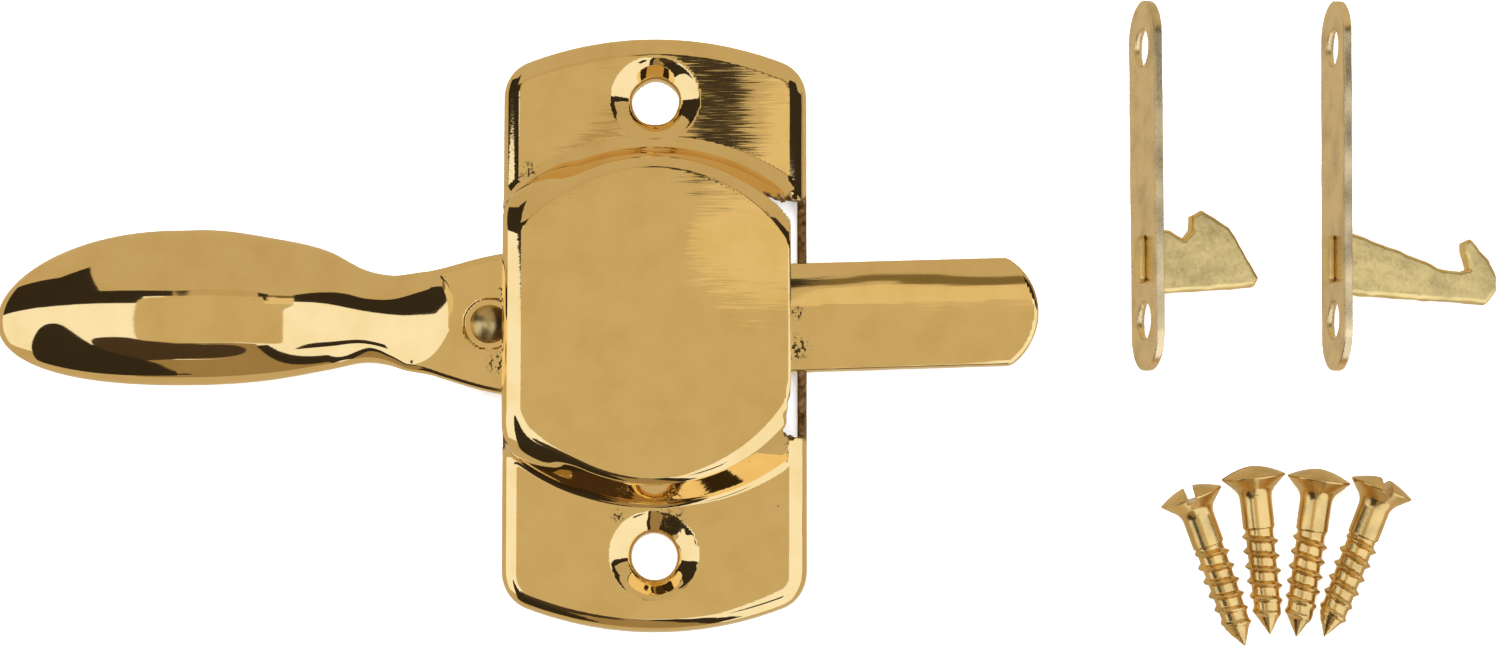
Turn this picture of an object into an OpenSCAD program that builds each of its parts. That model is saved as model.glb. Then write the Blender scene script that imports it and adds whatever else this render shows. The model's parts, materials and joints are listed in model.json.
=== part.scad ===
// Surface-mounted brass lever latch with two hook strikes and four wood screws.
// All sizes are in millimetres. +Z points out of the mounting face and +X along the tongue.
// The origin is on the mounting face, under the lever's pivot. Everything lies on the plane z = 0.

/* [Case] */
// Width of the case across its straight sides
case_w = 30.4; // [28:0.5:34]
// Distance from the pivot to the upper end of the case
case_top = 29.15; // [27.5:0.1:32]
// Distance from the pivot to the lower end of the case
case_bottom = 30.3; // [27.5:0.1:32]
// Height of the two screw flanges
flange_h = 3.6; // [3.4:0.1:4.5]
// Height of the drum over the mechanism
drum_h = 9.6; // [9.4:0.1:12]
// Distance between the two screw holes
hole_pitch = 45.5; // [43:0.1:46]
// Diameter of the screw holes
hole_d = 4.6; // [3.6:0.1:5]

/* [Lever] */
// Distance from the pivot to the end of the tongue
tongue_reach = 38.2; // [30:0.1:45]
// Width of the tongue
tongue_w = 11; // [8:0.1:12]
// Distance from the pivot to the end of the handle
handle_reach = 65.1; // [60:0.1:75]
// Greatest width of the grip
grip_w = 15.4; // [12:0.1:18]
// Greatest thickness of the grip
grip_t = 8.6; // [6:0.1:10]
// Diameter of the pivot pin
pivot_d = 4; // [3.6:0.1:4.4]

/* [Strikes] */
// Length of a strike plate
plate_len = 37.1; // [35:0.1:42]
// Width of a strike plate
plate_w = 7.6; // [7:0.1:9]
// Thickness of a strike plate
plate_t = 0.9; // [0.8:0.1:1.5]
// Thickness of a strike's hook
hook_t = 1.7; // [1.4:0.1:2.2]
// Distance between a strike's screw holes
strike_pitch = 27.4; // [26.5:0.1:28.5]
// Diameter of a strike's screw holes
strike_hole_d = 3.8; // [3.4:0.1:4]

/* [Screws] */
// Diameter of a screw's head
head_d = 6.3; // [5.6:0.1:6.6]
// Length from the rim of the head to the point
screw_len = 15.9; // [14:0.1:20]

/* [Hidden] */

// Colours
polished_brass = "goldenrod";
satin_brass = "khaki";
spring_bronze = "peru";
steel = "silver";

// Case shell
end_r = 35.5;          // plan radius of the case's two ends
corner_r = 2.6;        // plan radius of the case's corners
rim_round = 1.7;       // rounding of the flange's upper edge
side_wall = 1;         // thickness of the side walls
roof_t = 1.6;          // thickness of the flanges and of the drum's roof
drum_r = 22.5;         // plan radius of the drum's two ends at its foot
drum_reach = 17.8;     // distance from the pivot to the drum's foot, along Y
drum_top_r = 16;       // at its top the drum is round, with this radius, before the edge is rounded
drum_round = 1;        // rounding of the drum's upper edge
drum_corner_r = 2.5;   // plan radius of the drum's corners
drum_left = 15;        // distance from the pivot to the drum's side over the handle, at its foot
drum_shoulder = 2.2;   // how far this side rolls in towards the top
drum_right = 15.8;     // the same over the tongue, before the side is trimmed
drum_trim = 13.5;      // where the drum's side over the tongue is trimmed
foot_flare = 0.35;     // how far the drum's foot spreads
round_steps = 4;       // steps in a rounded edge
corner_steps = 5;      // steps in a corner
arch_steps = 20;       // steps in an arched end
boss_d = 10;           // boss behind each screw hole
sink_d = 8.6;          // countersink at the flange's surface
sink_h = 2;            // depth of the countersink
rear_rim_h = 1.2;      // what is left of the side wall under the openings
tongue_gate = [-11, 12.6];   // ends of the tongue's opening, along Y
handle_gate = 11.9;          // half the handle's opening, along Y
handle_gate_top = 7.3;       // top of the handle's opening

// Heights of the stack on the pivot pin, from the rear
pin_head_z = 0.3;
pin_head_h = 0.8;
pin_head_d = 8;
washer_t = 0.35;
washer_d = 8.4;
gap = 0.05;            // running clearance
rear_washer_z = pin_head_z + pin_head_h;
tongue_z = rear_washer_z + washer_t + gap;
tongue_t = 2;
blade_z = tongue_z + tongue_t;
blade_t = 1.8;
front_washer_z = blade_z + blade_t + gap;
pivot_boss_z = front_washer_z + washer_t + gap;
pivot_boss_d = 5.6;
pin_top = drum_h - 0.9;
ceiling = drum_h - roof_t;

// Tongue
tongue_tilt = 1.7;     // the tongue leans up by this angle
tongue_rise = 0.5;     // and its centre line passes this far above the pivot
tip_r = 6.4;           // plan radius of the tongue's end
crown_r = 26;          // radius of the tongue's convex face, across its width
crown_from = case_w / 2 - 1;
tail_reach = 19.3;     // the tongue's tail, under the handle

// Rivets
rivet_x = -16.3;
rivet_d = 2.6;
rivet_head_d = 3.9;
rivet_head_h = 1.5;
rivet_seat_d = 4.9;
rivet_seat_h = 0.25;
stud_x = 8;
stud_d = 2;
stud_top = 7;

// Spring
wire_d = 0.55;
coil_r = 3.3;
coil_z = [front_washer_z + washer_t + 0.35, ceiling - 0.4];
leg_gap = 0.05;
hook_arc = 200;
peg_x = -8;
peg_d = 2;

// Strikes
nub_h = 0.7;
tenon_w = 4.4;         // length of the tenon along the plate
tenon_y = 1.3;         // from the hook's root to the tenon
plate_below = 7.6;     // how far the plate runs below the hook's root
strike_hole_low = -2.6; // lower screw hole, from the hook's root
strike_sink = 0.4;
// x and y of the hook's root, and how far the plate leans from the Y axis
short_strike_at = [49.4, 3.1, 0];
long_strike_at = [68.2, 3.1, -0.6];

// Screws
shank_d = 3.15;
root_d = 2.6;
crest_d = 3.5;
thread_pitch = 1.48;
dome_h = 1.05;
neck_h = 1.6;
shank_h = 3.6;
point_h = 2.1;
slot_w = 0.85;
slot_h = 1.5;
// Each screw: [x, y of the head's rim centre, turn in plan, roll about its axis]
SCREWS = [
    [53.1, -16.9, 20.1, 82],
    [59.3, -14.9, 6.2, 4],
    [65.8, -15.2, -8.2, -6],
    [72, -16.1, -21.3, 98]
];

$fn = 48;

// ---------- Lofts ----------

// Faces that join rings of n points, with both ends closed
function ring_faces(rings, n) = concat(
    [[for (k = [0:n - 1]) k]],
    [for (i = [0:rings - 2], k = [0:n - 1], half = [0, 1])
        let (a = i * n + k, b = i * n + (k + 1) % n)
            half == 0 ? [a, a + n, b] : [b, a + n, b + n]],
    [[for (k = [n - 1:-1:0]) (rings - 1) * n + k]]
);

module loft(rings) {
    polyhedron([for (r = rings) each r], ring_faces(len(rings), len(rings[0])));
}

// ---------- Case ----------

// One ring of a case block at height z: straight sides at -left and right, arched ends at top and -bottom,
// all drawn in by inset, with corners of radius corner
function plan_ring(z, left, right, top, bottom, arch, corner, inset) =
    let (
        c = max(0.4, corner - inset),
        r = arch - inset,
        x = [right - inset - c, left - inset - c],
        rise = [for (v = x) sqrt((r - c) * (r - c) - v * v)],
        slope = [for (i = [0, 1]) atan2(rise[i], x[i])],
        top_y = top - arch,
        low_y = arch - bottom,
        // each arc: [centre x, centre y, radius, first angle, last angle]
        arcs = [
            [x[0], top_y + rise[0], c, 0, slope[0]],
            [0, top_y, r, slope[0], 180 - slope[1]],
            [-x[1], top_y + rise[1], c, 180 - slope[1], 180],
            [-x[1], low_y - rise[1], c, 180, 180 + slope[1]],
            [0, low_y, r, 180 + slope[1], 360 - slope[0]],
            [x[0], low_y - rise[0], c, 360 - slope[0], 360]
        ]
    )
    [for (k = [0:5], i = k % 3 == 1 ? [1:arch_steps - 1] : [0:corner_steps])
        let (g = arcs[k], a = g[3] + (g[4] - g[3]) * i / (k % 3 == 1 ? arch_steps : corner_steps))
            [g[0] + g[2] * cos(a), g[1] + g[2] * sin(a), z]];

// Heights and insets of a rounded upper edge
function rounded_edge(top, r) = [for (i = [0:round_steps]) let (a = 90 * i / round_steps)
    [top - r * (1 - sin(a)), r * (1 - cos(a))]];

module flange_block(inset, top, bottom) {
    loft([for (s = concat([[bottom, 0]], rounded_edge(top, rim_round)))
        plan_ring(s[0], case_w / 2, case_w / 2, case_top, case_bottom, end_r, corner_r, inset + s[1])]);
}

// A value that goes from low at the drum's foot to high at its top
function up_drum(z, low, high) = low + (high - low) * max(0, z - flange_h) / (drum_h - flange_h);

// Plan of the drum at height z, drawn in by inset
function drum_ring(z, inset) =
    let (
        reach = up_drum(z, drum_reach, drum_top_r),
        left = drum_left - drum_shoulder * pow(up_drum(z, 0, 1), 3)
    )
    plan_ring(z, left, drum_right, reach, reach, up_drum(z, drum_r, drum_top_r), drum_corner_r, inset);

// The raised middle has a flared foot, leaning walls and a rounded top, and its right side is trimmed.
module drum_block(inset, top, bottom) {
    foot = [[bottom, -foot_flare], [flange_h, -foot_flare], [flange_h + foot_flare, 0]];
    wall = [for (share = [0.4, 0.6, 0.75]) [flange_h + share * (top - flange_h), 0]];
    intersection() {
        loft([for (s = concat(foot, wall, rounded_edge(top, drum_round))) drum_ring(s[0], inset + s[1])]);
        translate([inset - case_w / 2, -case_w, bottom])
            cube([case_w / 2 + drum_trim - 2 * inset, 2 * case_w, top - bottom]);
    }
}

module case_shell() {
    difference() {
        union() {
            flange_block(0, flange_h, 0);
            drum_block(0, drum_h, flange_h - 1);
        }
        flange_block(side_wall, flange_h - roof_t, -1);
        drum_block(side_wall, ceiling, -1);
        // opening for the tongue
        translate([drum_trim - 3, tongue_gate[0], rear_rim_h])
            cube([case_w, tongue_gate[1] - tongue_gate[0], ceiling - rear_rim_h]);
        // opening for the handle
        translate([-case_w, -handle_gate, rear_rim_h])
            cube([case_w - drum_left + 3, 2 * handle_gate, handle_gate_top - rear_rim_h]);
    }
}

module case() {
    color(polished_brass)
    difference() {
        union() {
            case_shell();
            for (side = [-1, 1])
                translate([0, side * hole_pitch / 2, 0]) cylinder(d = boss_d, h = flange_h - 0.4);
            translate([0, 0, pivot_boss_z]) cylinder(d = pivot_boss_d, h = drum_h - 0.4 - pivot_boss_z);
            translate([peg_x, 0, pivot_boss_z]) cylinder(d = peg_d, h = drum_h - 0.4 - pivot_boss_z);
        }
        for (side = [-1, 1]) translate([0, side * hole_pitch / 2, 0]) {
            translate([0, 0, -1]) cylinder(d = hole_d, h = flange_h + 2);
            translate([0, 0, flange_h - sink_h]) cylinder(d1 = hole_d, d2 = sink_d, h = sink_h);
            translate([0, 0, flange_h]) cylinder(d = sink_d, h = 1);
        }
        translate([0, 0, pivot_boss_z - 1]) cylinder(d = pivot_d, h = pin_top - pivot_boss_z + 1);
    }
}

// ---------- Pivot ----------

module pivot_pin() {
    color(steel) {
        translate([0, 0, pin_head_z]) cylinder(d = pin_head_d, h = pin_head_h);
        translate([0, 0, rear_washer_z]) cylinder(d = pivot_d, h = pin_top - rear_washer_z);
    }
}

module washer(z) {
    color(spring_bronze) translate([0, 0, z])
        difference() {
            cylinder(d = washer_d, h = washer_t);
            translate([0, 0, -1]) cylinder(d = pivot_d + 0.2, h = washer_t + 2);
        }
}

// ---------- Spring ----------

function unit(v) = v / norm(v);

// A round wire along a path that stays nearly level
module wire(path, d, n = 8) {
    last = len(path) - 1;
    loft([for (i = [0:last])
        let (
            t = unit(path[min(i + 1, last)] - path[max(i - 1, 0)]),
            s = unit(cross(t, [0, 0, 1])),
            u = cross(s, t)
        )
            [for (k = [0:n - 1]) path[i] + d / 2 * (cos(360 * k / n) * s + sin(360 * k / n) * u)]]);
}

module centering_spring() {
    // Both legs leave the coil at a tangent and end in a hook: one round the peg, the other round the stud.
    grip_r = [peg_d / 2 + wire_d / 2 + leg_gap, stud_d / 2 + wire_d / 2 + leg_gap];
    lean = [asin((coil_r - grip_r[0]) / -peg_x), asin((coil_r - grip_r[1]) / stud_x)];
    from = 90 + lean[0];
    to = 90 - lean[1] - 720;
    steps = 60;
    fixed_hook = [for (a = [hook_arc:-20:0])
        [peg_x + grip_r[0] * cos(from + a), grip_r[0] * sin(from + a), coil_z[1]]];
    coil = [for (i = [0:steps]) let (a = from + (to - from) * i / steps)
        [coil_r * cos(a), coil_r * sin(a), coil_z[1] + (coil_z[0] - coil_z[1]) * i / steps]];
    moving_hook = [for (a = [0:20:hook_arc])
        [stud_x + grip_r[1] * cos(to - a), grip_r[1] * sin(to - a), coil_z[0]]];
    color(spring_bronze) wire(concat(fixed_hook, coil, moving_hook), wire_d);
}

// ---------- Lever ----------

module tongue() {
    color(polished_brass)
    difference() {
        rotate([0, 0, tongue_tilt]) translate([0, tongue_rise, tongue_z]) {
            // flat bar through the case, with a round tail
            linear_extrude(tongue_t) {
                translate([tongue_w / 2 - tail_reach, -tongue_w / 2])
                    square([crown_from + 1 + tail_reach - tongue_w / 2, tongue_w]);
                translate([tongue_w / 2 - tail_reach, 0]) circle(d = tongue_w);
            }
            // crowned tongue with an arched end
            intersection() {
                linear_extrude(tongue_t) intersection() {
                    translate([crown_from, -tongue_w / 2]) square([tongue_reach - crown_from, tongue_w]);
                    translate([tongue_reach - tip_r, 0]) {
                        circle(tip_r);
                        translate([-tongue_reach, -tongue_w / 2]) square([tongue_reach, tongue_w]);
                    }
                }
                translate([crown_from - 1, 0, tongue_t - crown_r]) rotate([0, 90, 0])
                    cylinder(r = crown_r, h = tongue_reach, $fn = 200);
            }
        }
        translate([0, 0, tongue_z - 1]) {
            cylinder(d = pivot_d + 2 * gap, h = tongue_t + 2);
            translate([rivet_x, 0, 0]) cylinder(d = rivet_d, h = tongue_t + 2);
            translate([stud_x, 0, 0]) cylinder(d = stud_d, h = tongue_t + 2);
        }
    }
}

// The handle's sections are ovals, squarer towards the blade:
// [x, centre y, half width, centre z, half thickness, squareness].
// The nose follows a formula, and the rest is smoothed between a few key sections.
grip_z = blade_z + 2.6;
blade_mid = blade_z + blade_t / 2;
widest = 18;           // from the handle's end to its widest section
grip_bow = 1.5;        // how far the grip's centre line rises above the pivot
nose_power = 2.15;
nose_steps = 8;
KEYS = [
    [widest - handle_reach, grip_bow, grip_w / 2, grip_z, grip_t / 2, 2],
    [-44, 1.55, grip_w / 2, grip_z, grip_t / 2, 2],
    [-38, 1.4, 0.92 * grip_w / 2, grip_z, 0.95 * grip_t / 2, 2],
    [-32, 1.25, 0.76 * grip_w / 2, grip_z - 0.4, 0.8 * grip_t / 2, 2],
    [-28.3, 0.7, 0.595 * grip_w / 2, grip_z - 0.8, 0.67 * grip_t / 2, 2.1],
    [-26, 0.4, 0.58 * grip_w / 2, grip_z - 1.1, 0.57 * grip_t / 2, 2.3],
    [-23, 0.2, 0.64 * grip_w / 2, blade_mid + 0.4, 0.33 * grip_t / 2, 3.2],
    [-20.6, 0.15, 0.73 * grip_w / 2, blade_mid, blade_t / 2, 7],
    [-15, 0.1, 0.915 * grip_w / 2, blade_mid, blade_t / 2, 8],
    [-11, 0.1, 0.93 * grip_w / 2, blade_mid, blade_t / 2, 8],
    [3, 0, 0.66 * grip_w / 2, blade_mid, blade_t / 2, 8],
    [9, 0, 0.45 * grip_w / 2, blade_mid, blade_t / 2, 8],
    [11, 0, 0.2 * grip_w / 2, blade_mid, blade_t / 2, 8]
];
last_key = len(KEYS) - 1;

function nose(u) = pow(1 - pow(u, nose_power), 1 / nose_power);
function key_slope(i) =
    let (a = KEYS[max(i - 1, 0)], b = KEYS[min(i + 1, last_key)])
        i == 0 ? 0 * a : (b - a) / (b[0] - a[0]);
// A smooth step from key section i, with u from 0 to 1
function key_section(i, u) =
    let (a = KEYS[i], b = KEYS[i + 1], step = b[0] - a[0])
        (1 + 2 * u) * (1 - u) * (1 - u) * a + u * u * (3 - 2 * u) * b
            + step * u * (1 - u) * ((1 - u) * key_slope(i) - u * key_slope(i + 1));
function section_at(i, u) =
    let (s = key_section(i, u))
        concat([KEYS[i][0] + u * (KEYS[i + 1][0] - KEYS[i][0])], [for (k = [1:5]) s[k]]);

HANDLE = concat(
    [for (i = [1:nose_steps]) let (u = cos(90 * i / (nose_steps + 1)), s = nose(min(u, 0.998)))
        [KEYS[0][0] - widest * u, grip_bow * (1 - 0.9 * u * u), s * grip_w / 2, grip_z, s * grip_t / 2, 2]],
    [for (i = [0:last_key - 1], u = [0, 0.5]) section_at(i, u)],
    [KEYS[last_key]]
);

function squared(v, p) = sign(v) * pow(abs(v), 2 / p);

module handle_body(n = 24) {
    loft([for (s = HANDLE) [for (k = [0:n - 1]) let (a = 360 * (k + 0.5) / n)
        [s[0], s[1] + s[2] * squared(cos(a), s[5]), s[3] + s[4] * squared(sin(a), s[5])]]]);
}

module handle() {
    color(polished_brass)
    difference() {
        handle_body();
        translate([0, 0, blade_z - 1]) {
            cylinder(d = pivot_d + 2 * gap, h = blade_t + 2);
            translate([rivet_x, 0, 0]) cylinder(d = rivet_d, h = blade_t + 2);
            translate([stud_x, 0, 0]) cylinder(d = stud_d, h = blade_t + 2);
        }
        translate([rivet_x, 0, blade_z + blade_t - rivet_seat_h]) cylinder(d = rivet_seat_d, h = 1);
    }
}

module handle_rivet() {
    top = blade_z + blade_t - rivet_seat_h;
    r = rivet_head_d / 2;
    ball_r = (r * r + rivet_head_h * rivet_head_h) / (2 * rivet_head_h);
    color(polished_brass) translate([rivet_x, 0, 0]) {
        translate([0, 0, tongue_z]) cylinder(d = rivet_d, h = top - tongue_z);
        intersection() {
            translate([0, 0, top + rivet_head_h - ball_r]) sphere(ball_r);
            translate([0, 0, top]) cylinder(r = r + 1, h = rivet_head_h + 1);
        }
    }
}

module spring_stud() {
    color(steel) translate([stud_x, 0, tongue_z]) cylinder(d = stud_d, h = stud_top - tongue_z);
}

// ---------- Strikes ----------

// Hook outlines seen from the side, [distance from the plate, height above the hook's root]
SHORT_HOOK = [
    [0, 0], [10.7, 1.1], [11.1, 1.9], [8, 6.9], [5.1, 8.6],
    [4.1, 8], [4.1, 6.6], [3.2, 5.6], [1.7, 6.4], [0, 6.6]
];
LONG_HOOK = [
    [0, 0], [6, -0.2], [14.8, -0.5], [15.9, 0.8], [15.7, 2.6], [14, 5.2], [13.2, 5.9],
    [12.5, 5.6], [12.95, 2.9], [12.1, 2.6], [9.8, 3], [5.9, 4.4], [0, 6.6]
];
hook_round = 0.25;     // rounding of a hook's corners

function reach_of(outline) = max([for (p = outline) p[0]]);

// A strike lies on one edge of its plate and on the end of its hook.
function strike_tilt(outline) = atan((plate_w - hook_t) / 2 / reach_of(outline));

// From the strike's own frame, whose origin is the hook's root on the plate's front face, to its place
module place_strike(at, outline) {
    tilt = strike_tilt(outline);
    translate([at[0], at[1], plate_w / 2 * cos(tilt)])
        rotate([0, 0, at[2]]) rotate([0, tilt, 0]) children();
}

module strike_plate(at, outline) {
    low = plate_w / 2 - plate_below;
    color(satin_brass) place_strike(at, outline)
        difference() {
            rotate([0, -90, 0]) linear_extrude(plate_t) {
                translate([-plate_w / 2, low]) square([plate_w, plate_len - plate_w]);
                for (y = [low, low + plate_len - plate_w]) translate([0, y]) circle(d = plate_w);
            }
            for (y = [strike_hole_low, strike_hole_low + strike_pitch])
                translate([0, y, 0]) rotate([0, -90, 0]) {
                    translate([0, 0, -1]) cylinder(d = strike_hole_d, h = plate_t + 2);
                    cylinder(d1 = strike_hole_d + 2 * strike_sink, d2 = strike_hole_d, h = strike_sink);
                }
            translate([-plate_t - 1, tenon_y, -hook_t / 2]) cube([plate_t + 2, tenon_w, hook_t]);
        }
}

module strike_hook(at, outline) {
    color(satin_brass) place_strike(at, outline) {
        translate([0, 0, -hook_t / 2]) linear_extrude(hook_t)
            offset(r = hook_round) offset(delta = -hook_round) polygon(outline);
        translate([-plate_t - nub_h, tenon_y, -hook_t / 2]) cube([plate_t + nub_h + 0.5, tenon_w, hook_t]);
    }
}

// ---------- Screws ----------

// Half section of a screw along its axis, the head's rim at z = 0 and the point at z = -screw_len
module screw_section() {
    head_r = head_d / 2;
    thread_top = -neck_h - shank_h;
    turns = floor((screw_len + thread_top - point_h) / thread_pitch);
    ball_r = (head_r * head_r + dome_h * dome_h) / (2 * dome_h);
    dome = [for (a = [0:5]) let (x = head_r * a / 5) [x, dome_h - ball_r + sqrt(ball_r * ball_r - x * x)]];
    thread = [for (i = [0:turns - 1]) let (z = thread_top - 0.2 - thread_pitch * i) each [
        [root_d / 2, z], [root_d / 2, z - 0.45 * thread_pitch],
        [(crest_d - 0.12 * max(0, i - turns + 3)) / 2, z - 0.7 * thread_pitch],
        [root_d / 2, z - 0.95 * thread_pitch]]];
    polygon(concat(dome, [[head_r, -0.15], [shank_d / 2, -neck_h], [shank_d / 2, thread_top]],
        thread, [[root_d / 2, -screw_len + point_h], [0, -screw_len]]));
}

// The screw lies on the rim of its head and on its thread.
screw_tilt = 7;

module wood_screw(i) {
    s = SCREWS[i];
    color(satin_brass)
    translate([s[0], s[1], head_d / 2 * cos(screw_tilt)]) rotate([0, 0, s[2]])
        rotate([screw_tilt - 90, 0, 0]) rotate([0, 0, s[3]])
            difference() {
                rotate_extrude() screw_section();
                translate([-head_d, -slot_w / 2, dome_h - slot_h]) cube([2 * head_d, slot_w, slot_h + 1]);
            }
}

case();
pivot_pin();
washer(rear_washer_z);  // rear_washer
washer(front_washer_z);  // front_washer
centering_spring();
tongue();
handle();
handle_rivet();
spring_stud();
strike_plate(short_strike_at, SHORT_HOOK);  // short_strike_plate
strike_hook(short_strike_at, SHORT_HOOK);  // short_strike_hook
strike_plate(long_strike_at, LONG_HOOK);  // long_strike_plate
strike_hook(long_strike_at, LONG_HOOK);  // long_strike_hook
wood_screw(0);  // wood_screw_1
wood_screw(1);  // wood_screw_2
wood_screw(2);  // wood_screw_3
wood_screw(3);  // wood_screw_4
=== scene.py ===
"""The looks of a brass surface-mounted lever latch, with two hook strikes and four wood screws.

Each casting is described by a field: a function that is negative inside the metal and gives about the
distance to its surface, in millimetres. surface_net() turns a field into a smooth mesh.
"""

import json
import math

import bpy
import numpy as np
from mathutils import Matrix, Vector


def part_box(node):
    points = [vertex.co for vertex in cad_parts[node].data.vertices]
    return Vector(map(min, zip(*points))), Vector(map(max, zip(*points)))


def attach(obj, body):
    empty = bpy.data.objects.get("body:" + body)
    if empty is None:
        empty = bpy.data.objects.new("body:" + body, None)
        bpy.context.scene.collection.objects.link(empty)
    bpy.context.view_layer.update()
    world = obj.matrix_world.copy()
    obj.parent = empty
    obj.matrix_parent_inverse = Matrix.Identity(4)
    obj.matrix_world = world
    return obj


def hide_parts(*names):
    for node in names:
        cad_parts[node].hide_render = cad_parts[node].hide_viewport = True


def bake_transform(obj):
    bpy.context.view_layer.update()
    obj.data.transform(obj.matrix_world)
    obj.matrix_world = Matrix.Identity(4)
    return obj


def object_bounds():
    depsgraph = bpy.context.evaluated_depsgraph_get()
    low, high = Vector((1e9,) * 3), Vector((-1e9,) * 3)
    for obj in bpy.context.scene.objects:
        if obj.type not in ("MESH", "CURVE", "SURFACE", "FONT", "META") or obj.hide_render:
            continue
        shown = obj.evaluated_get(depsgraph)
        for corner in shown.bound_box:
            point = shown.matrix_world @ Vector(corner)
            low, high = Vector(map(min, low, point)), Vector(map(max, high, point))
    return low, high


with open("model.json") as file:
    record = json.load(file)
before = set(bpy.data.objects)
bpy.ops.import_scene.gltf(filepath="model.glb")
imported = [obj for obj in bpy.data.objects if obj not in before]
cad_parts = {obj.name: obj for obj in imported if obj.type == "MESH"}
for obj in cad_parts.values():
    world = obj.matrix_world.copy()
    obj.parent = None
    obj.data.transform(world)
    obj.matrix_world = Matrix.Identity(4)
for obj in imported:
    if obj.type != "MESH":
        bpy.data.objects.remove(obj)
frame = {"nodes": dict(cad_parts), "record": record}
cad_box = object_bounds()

MM = 0.001
Z_AXIS = (0.0, 0.0, 1.0)


def node_box(node):
    """Lowest and highest corner of a CAD node, in millimetres."""
    low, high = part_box(node)
    return np.array(low) / MM, np.array(high) / MM


def mount_record(name):
    """The record's own entry for one of its mounts."""
    return next(m for m in frame["record"]["mounts"] if m["name"] == name)


def mount(name):
    """Position in millimetres and direction of one of the record's mounts."""
    found = mount_record(name)
    return np.array(found["pos_m"]) / MM, np.array(found["axis"], float)


# ---------- Fields ----------


def joined(a, b, r):
    """The union of two fields, with a fillet of radius r."""
    return np.maximum(r, np.minimum(a, b)) - np.hypot(np.maximum(r - a, 0), np.maximum(r - b, 0))


def common(a, b, r, power=2.4):
    """The part that two fields share, with edges rounded over r, gently at first if power is above 2."""
    u, v = np.maximum(r + a, 0), np.maximum(r + b, 0)
    return np.minimum(-r, np.maximum(a, b)) + (u**power + v**power) ** (1 / power)


def ramp(value, low, high):
    """0 below low, 1 above high, and smooth between."""
    t = np.clip((value - low) / (high - low), 0, 1)
    return t * t * (3 - 2 * t)


def ripple(x, y, z, wavelength, seed, waves=7):
    """A smooth, irregular value of about -1 to 1 that varies over wavelength."""
    random = np.random.RandomState(seed)
    total = 0
    for _ in range(waves):
        direction = random.normal(size=3)
        direction *= 2 * math.pi / wavelength / np.linalg.norm(direction)
        phase = random.uniform(0, 2 * math.pi)
        total = total + np.sin(direction[0] * x + direction[1] * y + direction[2] * z + phase)
    return total / math.sqrt(waves)


def cylinder_z(x, y, z, centre, radius, low, high, r=0.1):
    """An upright cylinder between two heights."""
    around = np.hypot(x - centre[0], y - centre[1]) - radius
    return common(around, np.maximum(low - z, z - high), r)


def polygon_distance(x, y, corners):
    """Distance to a polygon, negative inside."""
    nearest = np.full(np.shape(x), 1e9)
    inside = np.zeros(np.shape(x), bool)
    for (ax, ay), (bx, by) in zip(corners, corners[1:] + corners[:1]):
        ex, ey = bx - ax, by - ay
        t = np.clip(((x - ax) * ex + (y - ay) * ey) / (ex * ex + ey * ey), 0, 1)
        nearest = np.minimum(nearest, np.hypot(x - ax - t * ex, y - ay - t * ey))
        crosses = (ay > y) != (by > y)
        level = np.where(by == ay, 1e-9, by - ay)
        inside ^= crosses & (x < ex * (y - ay) / level + ax)
    return np.where(inside, -nearest, nearest)


# ---------- Meshes from fields ----------


def surface_net(field, low, high, step):
    """Points and quads of the surface where field is zero, between two corners, on a grid of one step."""
    axes = [np.arange(a - 2 * step, b + 2.5 * step, step) for a, b in zip(low, high)]
    value = field(*np.meshgrid(*axes, indexing="ij"))
    inside = value < 0
    shape = [n - 1 for n in value.shape]
    corners = [(i, j, k) for i in (0, 1) for j in (0, 1) for k in (0, 1)]

    def at(array, c):
        return array[c[0] : c[0] + shape[0], c[1] : c[1] + shape[1], c[2] : c[2] + shape[2]]

    total = np.zeros(shape + [3])
    count = np.zeros(shape)
    for a in corners:
        for b in corners:
            if a < b and sum(abs(p - q) for p, q in zip(a, b)) == 1:
                crossed = at(inside, a) != at(inside, b)
                change = np.where(crossed, at(value, a) - at(value, b), 1)
                share = np.where(crossed, at(value, a), 0) / change
                point = np.array(a) + share[..., None] * (np.array(b) - np.array(a))
                total += np.where(crossed[..., None], point, 0)
                count += crossed
    used = count > 0
    number = np.full(shape, -1)
    number[used] = np.arange(used.sum())
    origin = np.array([axis[0] for axis in axes])
    points = origin + step * (np.argwhere(used) + total[used] / count[used][:, None])
    quads = []
    for turn in range(3):
        order = [(turn + i) % 3 for i in range(3)]
        n, s = number.transpose(order), inside.transpose(order)
        first, second = s[:-1, 1:-1, 1:-1], s[1:, 1:-1, 1:-1]
        around = np.stack([n[:, :-1, :-1], n[:, 1:, :-1], n[:, 1:, 1:], n[:, :-1, 1:]], -1)
        quads.append(around[first & ~second])
        quads.append(around[~first & second][:, ::-1])
    return points, np.concatenate(quads)


def slope_of(field, points, reach=0.01):
    """The field's slope at each point."""
    columns = []
    for axis in range(3):
        offset = np.zeros(3)
        offset[axis] = reach
        columns.append((field(*(points + offset).T) - field(*(points - offset).T)) / (2 * reach))
    return np.stack(columns, -1)


def settle(field, points, step):
    """Moves points onto the surface, and returns them with the surface's directions there."""
    for _ in range(5):
        slope = slope_of(field, points)
        size = np.maximum((slope**2).sum(1), 0.04)
        move = -(field(*points.T) / size)[:, None] * slope
        length = np.linalg.norm(move, axis=1, keepdims=True)
        points = points + move * np.minimum(1, 0.3 * step / np.maximum(length, 1e-9))
    slope = slope_of(field, points)
    return points, slope / np.maximum(np.linalg.norm(slope, axis=1, keepdims=True), 1e-9)


def new_object(name, data):
    """An object in the scene, round a mesh, a light or a camera."""
    made = bpy.data.objects.new(name, data)
    bpy.context.scene.collection.objects.link(made)
    return made


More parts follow.
